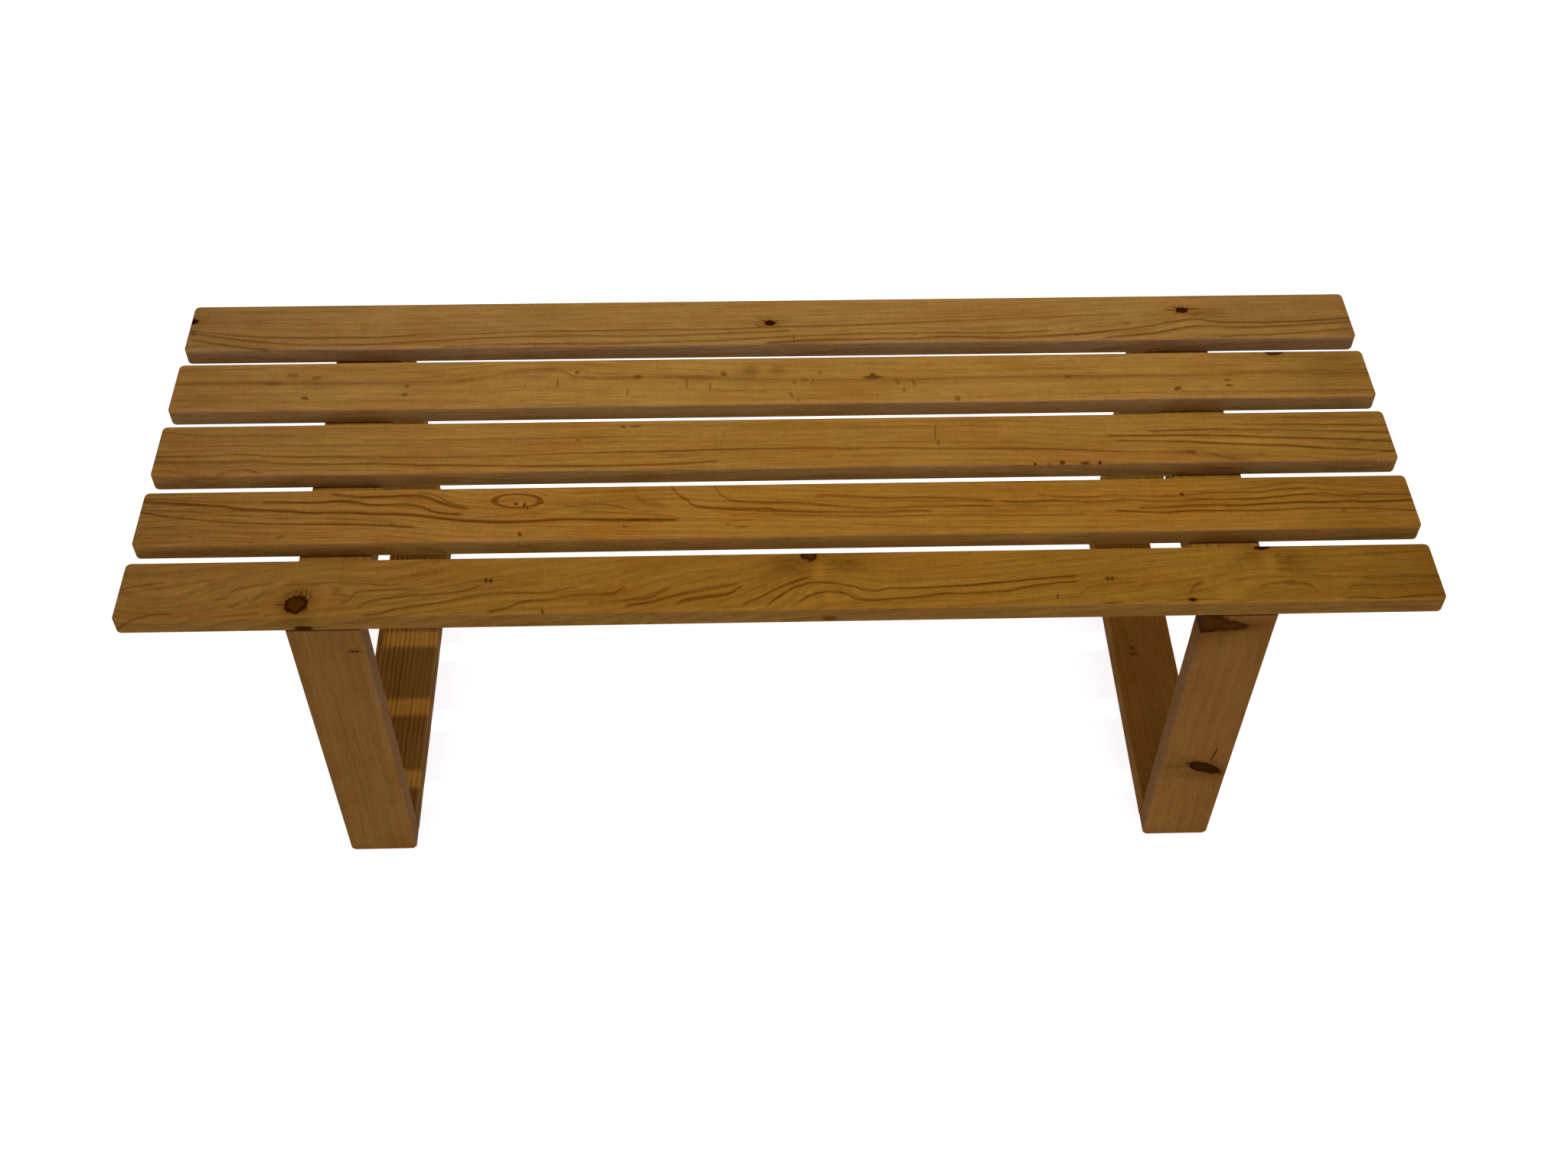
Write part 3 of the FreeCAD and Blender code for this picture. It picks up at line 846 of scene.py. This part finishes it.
slat4Look = {
    "pith": (-150, -60), "ringWidth": 9.0, "contrast": 0.10, "seed": 4.0, "tint": (1.08, 1.12, 1.4),
    "bends": [
        (-240, 26, 15.7, 120, 40), (-540, 8, 3.6, 120, 40), (180, -10, -2.2, 120, 40),
        (-184, 4, -5.2, 28, 16),
    ],
    "paintedSheen": [(-600, 0, 0.35, 330, 90)],
    "lines": [
        (0.43, 6.5, [
            (-628, 4.7), (-521, 4.7), (-440, 2.5), (-332, 4.7), (-310, 8), (-262, 19), (-240, 20),
            (-226, 19), (-215, 13), (-205, 8.6), (-177, 6.4), (-119, 6.4), (-62, 3.2), (60, -1),
            (116, -2.3), (205, -0.3), (303, -0.5), (466, 0.6), (509, 2.7), (553, 0.6), (628, -1.5),
        ]),
        (0.34, 4, [(411, -24.4), (628, -27)]),
        (0.27, 3, [(-628, -19.2), (-500, -23), (-380, -24), (-300, -26)]),
    ],
    "calm": [(0, 34, 0.6, 900, 16), (-100, -30, 0.8, 500, 14)],
    # the wide spots at the right end make this slat darker there
    "stainsAndShade": [
        (-26, 17, 0.24, 9, 9), (2, 16, 0.18, 11, 8), (590, 0, 0.10, 60, 60), (-30, 12, 0.18, 12, 9),
        (0, 12, 0.17, 10, 9), (-13, 16, -0.08, 4, 7), (-262, 15, 0.12, 24, 5), (-236, 20, 0.14, 14, 5),
        (-80, 5, 0.10, 30, 5), (540, 26, 0.10, 60, 8), (240, 24, 0.07, 30, 10), (-500, 4, 0.07, 60, 5),
        (600, 0, 0.08, 40, 60),
    ],
    "knots": [(526, 34, 20, 13, 0.9)],
    "marks": [
        (-483, -18.5, 9, 5, 0.72, 15), (-381, -2.5, 5, 5, 0.66), (-382, -15, 6, 5.4, 0.66),
        (-500, 16, 12, 7, 0.44), (-475, 11.5, 10, 6, 0.49), (-519, 4, 18, 5, 0.44),
        (-226.5, -1, 2.2, 16, 0.49), (-260, -5, 2, 9, 0.27), (-207, 15, 4.4, 4.4, 0.72),
        (-144, 7, 10, 7, 0.66), (-154, -16, 3, 11, 0.44), (-93, -4, 2.6, 16, 0.49),
        (-69, -8, 3.2, 11, 0.44), (-55, 10, 6, 8, 0.66, -25), (18.5, -4, 3, 10, 0.49),
        (29, -0.5, 9, 5, 0.55), (37, -4, 3, 9, 0.49, 15), (45.5, 10, 5, 7, 0.44),
        (15, -24, 3.4, 10, 0.49, -20), (21, -29, 3, 8, 0.44), (100, 2, 20, 6, 0.77), (100, 4, 7, 10, 0.77),
        (125, -5, 4, 11, 0.44, -15), (142, -7, 3.4, 12, 0.49, -20), (131, -17.5, 4, 7, 0.49, 15),
        (185, -31, 6, 8, 0.55), (303, -1, 8, 5, 0.66), (352, -24, 6, 4, 0.34),
        (414.5, -21, 9, 5.4, 0.75, -30), (468.5, -9, 7, 4, 0.68), (469, -17, 8, 4, 0.68),
    ],
}
slat5Look = {
    "pith": (-120, -55), "ringWidth": 8.0, "contrast": 0.20, "seed": 5.0, "tint": (1.0, 1.06, 1.6),
    "bends": [
        (550, -19, 25.1, 220, 60), (120, -28, 6.9, 120, 40), (-420, -28, -6.7, 120, 40),
        (360, 8, 5.1, 120, 40), (-590, -17, 6.1, 28, 16), (446, -10, 6.4, 28, 16), (600, -17, 6.0, 28, 16),
    ],
    "paintedSheen": [(-600, 0, 0.2, 330, 90)],
    "lines": [
        (0.58, 3, [
            (-628, -3.5), (-553, -14.4), (-527, -16.6), (-495, -18.1), (-473, -18.3), (-451, -17.5),
            (-429, -18.1), (-353, -13.8), (-310, -13.8), (-255, -11.6), (-205, -12), (-119, -11),
            (-80, -12), (-25, -11), (-14, -9.2), (62, -8.8), (248, 0), (379, 4.9),
        ]),
        (0.64, 3.6, [
            (-628, -6.2), (-538, -23.6), (-512, -26.8), (-484, -29), (-455, -29.6), (-425, -29),
            (-397, -27.5), (-364, -24.7), (-277, -20.3), (-205, -19.5), (-156, -20.8), (-36, -17.5),
            (20, -15),
        ]),
        (0.58, 4, [(-628, -15.4), (-553, -32.3), (-527, -35.5)]),
        (0.64, 3.5, [
            (-353, -34.4), (-316, -32.3), (-277, -31.2), (-166, -32.5), (-106, -30), (-58, -29.4),
            (18, -24), (160, -21.8), (238, -22.5), (298, -20),
        ]),
        (0.70, 3.9, [
            (-14, -34.9), (20, -32), (62, -30.5), (138, -30.5), (186, -28.3), (253, -30.5), (280, -29.4),
            (303, -27.7), (352, -22.5), (401, -14.7), (446, -5.5), (455, -4.9), (466, -8.1), (488, -11),
            (531, -11.4), (628, -5.4),
        ]),
        (0.64, 4, [
            (346, -32.7), (407, -25.5), (445, -16.8), (455, -15.7), (509, -18.6), (553, -16.8),
            (628, -10.8),
        ]),
        (0.52, 3.6, [(470, -34), (498, -31), (531, -30.5), (628, -21.2)]),
    ],
    "calm": [(-60, 32, 1.0, 900, 30), (600, 10, 0.6, 60, 16)],
    "stainsAndShade": [
        (472, 4, 0.22, 16, 9), (452, 2, 0.16, 10, 5), (445, -3, -0.14, 16, 5), (610, -30, 0.12, 24, 10),
        (-13, 3, 0.10, 12, 7), (-434, -8, 0.12, 4, 9), (530, 14, 0.06, 50, 14),
    ],
    "knots": [(-617, 10, 11, 9, 1.0, 0, 0, (0.2, 0)), (-5, -3, 12, 9, 1.0), (440, 10, 13, 10, 1.0, 0.2)],
    "marks": [
        (-5, -2, 24, 2, 0.7, 24), (-4, -3, 22, 2, 0.7, -22), (438, 11, 20, 2.4, 0.8, 35),
        (441, 10, 22, 2.2, 0.8, -30), (-614, -9, 6, 9, 0.44), (428, 11, 14, 2, 0.72, 8),
        (452, 12, 16, 2, 0.72, -8), (455, 3, 16, 5, 0.33, -25), (20, -28, 1.6, 14, 0.55, 2),
        (-18, -7, 8, 3, 0.55, 20), (377, -11, 6, 4, 0.44), (317, -18, 4, 3, 0.44),
        (149, -24, 5, 2.4, 0.44, 20), (552, 11, 5, 3, 0.33),
    ],
}
slatDefaults = {"figure": 1.0, "wander": 0.5, "wanderLength": 160.0, "curl": 0.5, "curlLength": 30.0}
slatLooks = [slat1Look, slat2Look, slat3Look, slat4Look, slat5Look]
for slatNumber, slatLook in enumerate(slatLooks, 1):
    slatName = "seat_slat_%d" % slatNumber
    dress(slatName, pineMaterial(slatName, {**boardDefaults, **slatDefaults, **slatLook}))
print("slats dressed:", len(slatLooks))


# the two board frames

frameLooks = {
    # the front legs' bluer tints are painted sheen
    "left_front_leg": {
        "direction": "upright", "faceSide": -1, "pith": (-75, 60), "drift": (0.02, 0.0), "ringWidth": 9.0,
        "contrast": 0.10, "seed": 6.0, "tint": (0.85, 0.83, 1.15), "wander": 3.0,
        # on this leg the lighter band along the inner edge is a painted highlight on its rounding, the
        # darker band runs along the outer edge, and the spot at the top is painted shade under the seat
        "stainsAndShade": [
            (-20, 33, -0.10, 140, 4), (0, -33, 0.10, 200, 5), (120, 26, 0.08, 30, 10),
            (178, 0, 0.08, 24, 60),
        ],
        "marks": [
            (156, 24, 2.6, 14, 0.8), (156, 22, 6, 3, 0.8), (156, 26, 6, 3, 0.65), (-93, 23, 2.4, 7, 0.5),
            (-24, -6, 280, 1.8, 0.3, 0.4),
        ],
    },
    "right_front_leg": {
        "direction": "upright", "faceSide": -1, "pith": (70, 55), "drift": (0.01, 0.0), "ringWidth": 9.0,
        "contrast": 0.08, "seed": 7.0, "tint": (0.87, 0.82, 1.1), "wander": 3.0,
        "bends": [(178, -24, 8, 20, 40), (-61, 7, 6, 18, 34)],
        "stainsAndShade": [
            (-60, -26, 0.20, 6, 14), (172, 12, 0.34, 9, 18), (-74, -12, 0.16, 6, 22),
            (-66, 28, 0.22, 12, 8), (158, -20, 0.14, 8, 24),
        ],
        "knots": [
            (177, -30, 30, 40, 0.9, 0.75, -8), (173, -10, 14, 38, 0.85, 0.6, -6),
            (-61, 10, 16, 44, 0.95, 0.3, -26, (0.2, 0)),
        ],
        "marks": [
            (-38, 16, 27, 1.8, 0.95, -8), (165, -14, 3, 50, 0.6, 2), (-64, 24, 3, 14, 0.5, -25),
            (-58, -16, 3.4, 30, 0.3),
        ],
    },
    "left_rear_leg": {
        "direction": "upright", "pith": (8, -60), "ringWidth": 7.0, "contrast": 0.5, "seed": 8.0,
        "bends": [(40, -10, 8, 30, 16)], "knots": [(40, -10, 12, 15, 0.95, 0.6)],
    },
    "right_rear_leg": {
        "direction": "upright", "pith": (-14, -55), "drift": (0.01, 0.0), "ringWidth": 7.0,
        "contrast": 0.5, "seed": 9.0, "bends": [(-70, 12, 7, 28, 15)],
        "knots": [(-70, 12, 10, 12, 0.9, 0.5)],
    },
    "left_floor_rail": {
        "direction": "deep", "pith": (-300, -40), "ringWidth": 5.5, "contrast": 0.95, "seed": 10.0,
        "wander": 0.4, "curl": 0.15, "tint": (0.95, 0.92, 1.0),
    },
    "right_floor_rail": {
        "direction": "deep", "pith": (-130, -60), "drift": (0.02, 0.0), "ringWidth": 5.5,
        "contrast": 0.2, "seed": 11.0, "tint": (0.96, 0.85, 0.74),
        "marks": [(22, 13, 7, 6, 0.65), (13, 13, 5, 9, 0.7)],
    },
    "left_top_rail": {
        "direction": "deep", "pith": (10, 50), "ringWidth": 6.0, "contrast": 0.6, "seed": 12.0,
    },
    "right_top_rail": {
        "direction": "deep", "pith": (-8, 45), "drift": (0.01, 0.0), "ringWidth": 6.0, "contrast": 0.6,
        "seed": 13.0,
    },
}
frameDefaults = {"figure": 0.6, "wander": 1.4, "wanderLength": 220.0, "curl": 0.4, "curlLength": 45.0}
for boardName, boardLook in frameLooks.items():
    dress(boardName, pineMaterial(boardName, {**boardDefaults, **frameDefaults, **boardLook}))
print("frame boards dressed:", len(frameLooks))


# beech dowels, hidden in the joints

dowelLook = {
    "pale": (0.50, 0.32, 0.16, 1), "brown": (0.36, 0.20, 0.09, 1), "flecks": 0.8, "seed": 20.0,
    "roughness": 0.62, "roughnessSpread": 0.2, "bumpStrength": 0.4, "bumpDistance": 0.0003,
}


def beechMaterial():
    material, tree, vector = startMaterial("dowelBeech", "deep")
    fibre = useGroup(tree, fibreGroup, Vector=vector, Flow=vector, Seed=dowelLook["seed"])
    colour = blend(tree, fibre["Streak"], dowelLook["pale"], dowelLook["brown"])
    flecks = times(tree, fibre["Fleck"], dowelLook["flecks"])
    colour = blend(tree, flecks, colour, dowelLook["brown"])
    rough = spread(tree, fibre["Fibre"], dowelLook["roughness"], dowelLook["roughnessSpread"])
    shadeWith(tree, colour, rough, fibre["Fibre"], dowelLook)
    return material


beech = beechMaterial()
dowelNames = [name for name in nodes if name.endswith("_dowels")]
for dowelName in dowelNames:
    dress(dowelName, beech)
print("dowel nodes dressed:", len(dowelNames))


# zinc-plated screws, whose heads show under the top rails

screwLook = {
    # millimetres
    "head": 8.0, "rim": 0.4, "shank": 2.9, "tip": 4.0, "point": 0.5,
    "thread": 4.0, "ridge": 0.75, "pitch": 1.8, "recess": (4.4, 0.95, 2.0), "weld": 0.001,
    # counts and shares
    "sides": 32, "turns": 13, "stepsPerTurn": 14, "recessTaper": (0.35, 0.75, 1),
    "smoothAngle": 35,  # degrees
    "slatTurn": 0.7, "pairTurn": 1.1,  # radians from one slat's screws to the next, and between a pair
}
zincLook = {
    "zinc": (0.62, 0.60, 0.55, 1), "dull": (0.36, 0.33, 0.27, 1),
    "cloud": {"seed": 5.0, "scale": 0.5, "detail": 3.0}, "fine": {"seed": 9.0, "scale": 4.0, "detail": 2.0},
    "roughness": 0.32, "roughnessSpread": 0.2, "bumpStrength": 0.2, "bumpDistance": 0.0001,
}


def zincMaterial():
    material, tree, vector = startMaterial("screwZinc")
    cloud, fine = [noise(tree, vector, **zincLook[name])["Fac"] for name in ("cloud", "fine")]
    colour = blend(tree, cloud, zincLook["zinc"], zincLook["dull"])
    rough = spread(tree, fine, zincLook["roughness"], zincLook["roughnessSpread"])
    shadeWith(tree, colour, rough, fine, zincLook, Metallic=1.0)
    return material


def selectOnly(piece, *others):
    bpy.ops.object.select_all(action="DESELECT")
    for one in (piece, *others):
        one.select_set(True)
    bpy.context.view_layer.objects.active = piece


def closeEditing():
    # turns all faces outward and goes back to object mode
    bpy.ops.mesh.select_all(action="SELECT")
    bpy.ops.mesh.normals_make_consistent(inside=False)
    bpy.ops.object.mode_set(mode="OBJECT")


def cutAway(piece, cutter):
    # takes the cutter's shape out of the piece and removes the cutter
    selectOnly(piece)
    cut = piece.modifiers.new("cut", "BOOLEAN")
    cut.operation = "DIFFERENCE"
    cut.solver = "EXACT"
    cut.object = cutter
    bpy.ops.object.modifier_apply(modifier=cut.name)
    bpy.data.objects.remove(cutter, do_unlink=True)


def screwBody(length):
    # head down on Z = 0, drawn up ring by ring from a disc
    head = screwLook["head"] / 2
    shank = screwLook["shank"] / 2
    rings = [
        (screwLook["rim"], head), (screwLook["rim"] + head - shank, shank),
        (length - screwLook["tip"], shank), (length, screwLook["point"] / 2),
    ]
    bpy.ops.mesh.primitive_circle_add(vertices=screwLook["sides"], radius=head * mm, fill_type="NGON")
    body = bpy.context.object
    bpy.ops.object.mode_set(mode="EDIT")
    bpy.ops.mesh.select_all(action="SELECT")
    height = 0.0
    radius = head
    for nextHeight, nextRadius in rings:
        bpy.ops.mesh.extrude_region_move(
            TRANSFORM_OT_translate={"value": (0, 0, (nextHeight - height) * mm)})
        share = nextRadius / radius
        bpy.ops.transform.resize(value=(share, share, 1), center_override=(0, 0, nextHeight * mm))
        height = nextHeight
        radius = nextRadius
    closeEditing()
    return body


def screwThread(length):
    # a three-cornered ridge wound round the shank
    pitch = screwLook["pitch"]
    bottom = length - screwLook["tip"] - pitch * screwLook["turns"]
    bpy.ops.mesh.primitive_circle_add(
        vertices=3, radius=screwLook["ridge"] * mm, fill_type="NOTHING",
        location=((screwLook["thread"] / 2 - screwLook["ridge"]) * mm, 0, bottom * mm),
        rotation=(math.radians(90), math.radians(90), 0),
    )
    thread = bpy.context.object
    bpy.ops.object.transform_apply()
    wind = thread.modifiers.new("wind", "SCREW")
    wind.axis = "Z"
    wind.angle = math.radians(360)
    wind.screw_offset = pitch * mm
    wind.iterations = screwLook["turns"]
    wind.steps = screwLook["stepsPerTurn"]
    wind.render_steps = screwLook["stepsPerTurn"]
    bpy.ops.object.modifier_apply(modifier=wind.name)
    bpy.ops.object.mode_set(mode="EDIT")
    bpy.ops.mesh.select_all(action="SELECT")
    bpy.ops.mesh.remove_doubles(threshold=screwLook["weld"] * mm)
    bpy.ops.mesh.fill_holes(sides=4)
    closeEditing()
    return thread


def recessCutter(turn):
    # one arm of the cross recess, narrower at its bottom
    width, thickness, depth = screwLook["recess"]
    above = screwLook["rim"]
    bpy.ops.mesh.primitive_cube_add(size=1, location=(0, 0, (depth - above) / 2 * mm))
    arm = bpy.context.object
    arm.scale = (width * mm, thickness * mm, (depth + above) * mm)
    bpy.ops.object.transform_apply()
    for part in (*arm.data.polygons, *arm.data.edges):
        part.select = False
    for vertex in arm.data.vertices:
        vertex.select = vertex.co.z > depth * mm / 2
    bpy.ops.object.mode_set(mode="EDIT")
    bpy.ops.transform.resize(value=screwLook["recessTaper"], center_override=(0, 0, depth * mm))
    bpy.ops.object.mode_set(mode="OBJECT")
    arm.rotation_euler.z = turn
    bpy.ops.object.transform_apply()
    return arm


def makeScrew(length):
    screw = screwBody(length)
    for turn in (0, math.radians(90)):
        cutAway(screw, recessCutter(turn))
    selectOnly(screw, screwThread(length))
    bpy.ops.object.join()
    bpy.ops.object.shade_smooth_by_angle(angle=math.radians(screwLook["smoothAngle"]))
    return screw


def fitScrews(pattern, nodeName, turn):
    # copies the screw to both ends of the node's row, each with its own turn
    low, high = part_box(nodeName)
    head = screwLook["head"] / 2 * mm
    copies = []
    for x in (low.x + head, high.x - head):
        selectOnly(pattern)
        bpy.ops.object.duplicate()
        copy = bpy.context.object
        copy.location = (x, (low.y + high.y) / 2, low.z)
        copy.rotation_euler.z = turn
        copies.append(copy)
        turn += screwLook["pairTurn"]
    selectOnly(*copies)
    bpy.ops.object.join()
    bpy.ops.object.transform_apply()
    piece = bpy.context.object
    piece.name = nodeName + "_crosshead"
    piece.data.materials.clear()  # also takes away the slot numbers that the cuts left
    piece.data.materials.append(zinc)
    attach(piece, "root")
    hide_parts(nodeName)


zinc = zincMaterial()
screwNames = [name for name in nodes if name.endswith("_screws")]
screwLow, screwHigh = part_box(screwNames[0])
screwPattern = makeScrew((screwHigh.z - screwLow.z) / mm)
for order, screwName in enumerate(screwNames):
    fitScrews(screwPattern, screwName, order * screwLook["slatTurn"])
bpy.data.objects.remove(screwPattern, do_unlink=True)
print("screws made for", len(screwNames), "slats")


# floor, which looks white to the camera, shows a soft shadow and can be looked through from below

floorLook = {"size": 16.0, "drop": 0.0004, "shade": 0.78, "glow": 0.77, "clearUpTo": 0.0048}  # metres


def seenDirectly(tree):
    # 1 for what the camera sees, straight or by reflection
    path = addNode(tree, "LightPath").outputs
    seen = path["Is Camera Ray"]
    for name in ("Is Glossy Ray", "Is Transmission Ray"):
        seen = calc(tree, "MAXIMUM", seen, path[name])
    return seen


def makeFloor():
    bpy.ops.mesh.primitive_plane_add(size=floorLook["size"], location=(0, 0, -floorLook["drop"]))
    floor = bpy.context.object
    floor.name = "floor"
    material = bpy.data.materials.new("floorPaper")
    tree = startTree(material)
    matt = addNode(tree, "BsdfDiffuse")
    matt.inputs["Color"].default_value = (floorLook["shade"],) * 3 + (1,)
    glow = addNode(tree, "Emission")
    glow.inputs["Color"].default_value = (1, 1, 1, 1)
    feed(tree, glow.inputs["Strength"], times(tree, seenDirectly(tree), floorLook["glow"]))
    both = addFed(tree, "AddShader", [matt.outputs[0], glow.outputs[0]])
    # the camera looks through it from below, and light reaches the soles that stand on it
    path = addNode(tree, "LightPath").outputs
    under = addNode(tree, "NewGeometry").outputs["Backfacing"]
    near = calc(tree, "LESS_THAN", path["Ray Length"], floorLook["clearUpTo"])
    near = times(tree, near, path["Is Diffuse Ray"])
    through = calc(tree, "MAXIMUM", times(tree, under, path["Is Camera Ray"]), near)
    clear = addNode(tree, "BsdfTransparent")
    putOut(tree, addFed(tree, "MixShader", [through, both.outputs[0], clear.outputs[0]]))
    floor.data.materials.append(material)


makeFloor()


# light: a high lamp that reaches through the slat gaps, a soft fill from the front, and the world

lampLook = {
    "place": (0.45, -0.05, 4.8), "aim": (0.05, 0.07, 0.39), "radius": 0.05, "cone": 24.5, "coneBlend": 1.0,
    "power": 375.0, "colour": (1.0, 0.985, 0.95),
}
fillLook = {
    "place": (0.2, -3.2, 1.7), "aim": (0.0, 0.0, 0.25), "size": (2.6, 1.6), "power": 23.0,
    "colour": (1.0, 0.99, 1.45),
}
worldLook = {"ambient": 0.42, "tint": (1.0, 0.99, 1.05, 1)}


def hangLamp(name, kind, look):
    lamp = bpy.data.lights.new(name, kind)
    lamp.energy = look["power"]
    lamp.color = look["colour"]
    holder = bpy.data.objects.new(name, lamp)
    holder.location = look["place"]
    toward = Vector(look["aim"]) - Vector(look["place"])
    holder.rotation_euler = toward.to_track_quat("-Z", "Y").to_euler()
    bpy.context.scene.collection.objects.link(holder)
    return lamp


def makeBackdrop():
    # tinted and dim as a light, plain white where it is seen
    backdrop = bpy.data.worlds.new("studio")
    tree = startTree(backdrop)
    seen = seenDirectly(tree)
    tint = blend(tree, seen, worldLook["tint"], (1, 1, 1, 1))
    strength = ramp(tree, seen, 0.0, 1.0, worldLook["ambient"], 1.0, kind="LINEAR")
    putOut(tree, addFed(tree, "Background", [tint, strength]), "World")
    bpy.context.scene.world = backdrop


highLamp = hangLamp("highLamp", "SPOT", lampLook)
highLamp.shadow_soft_size = lampLook["radius"]
highLamp.spot_size = math.radians(lampLook["cone"])
highLamp.spot_blend = lampLook["coneBlend"]
frontFill = hangLamp("frontFill", "AREA", fillLook)
frontFill.shape = "RECTANGLE"
frontFill.size, frontFill.size_y = fillLook["size"]
makeBackdrop()
print("floor and light ready")


# camera, standing in front of the bench and looking down at it

cameraLook = {
    "place": (-0.0489, -1.3069, 1.6990), "lens": 42.13, "sensor": 36.0,
    "pitch": 49.173, "yaw": 2.451, "roll": 0.947,  # degrees down from level, to the right and rolled
}


def addCamera():
    data = bpy.data.cameras.new("photoCamera")
    data.lens = cameraLook["lens"]
    data.sensor_width = cameraLook["sensor"]
    data.sensor_fit = "HORIZONTAL"
    camera = bpy.data.objects.new("photoCamera", data)
    yaw = Matrix.Rotation(math.radians(-cameraLook["yaw"]), 4, "Z")
    pitch = Matrix.Rotation(math.radians(90 - cameraLook["pitch"]), 4, "X")
    roll = Matrix.Rotation(math.radians(cameraLook["roll"]), 4, "Z")
    camera.matrix_world = Matrix.Translation(cameraLook["place"]) @ yaw @ pitch @ roll
    bpy.context.scene.collection.objects.link(camera)
    bpy.context.scene.camera = camera


addCamera()
bpy.context.scene.view_settings.view_transform = "Standard"
print("camera set")
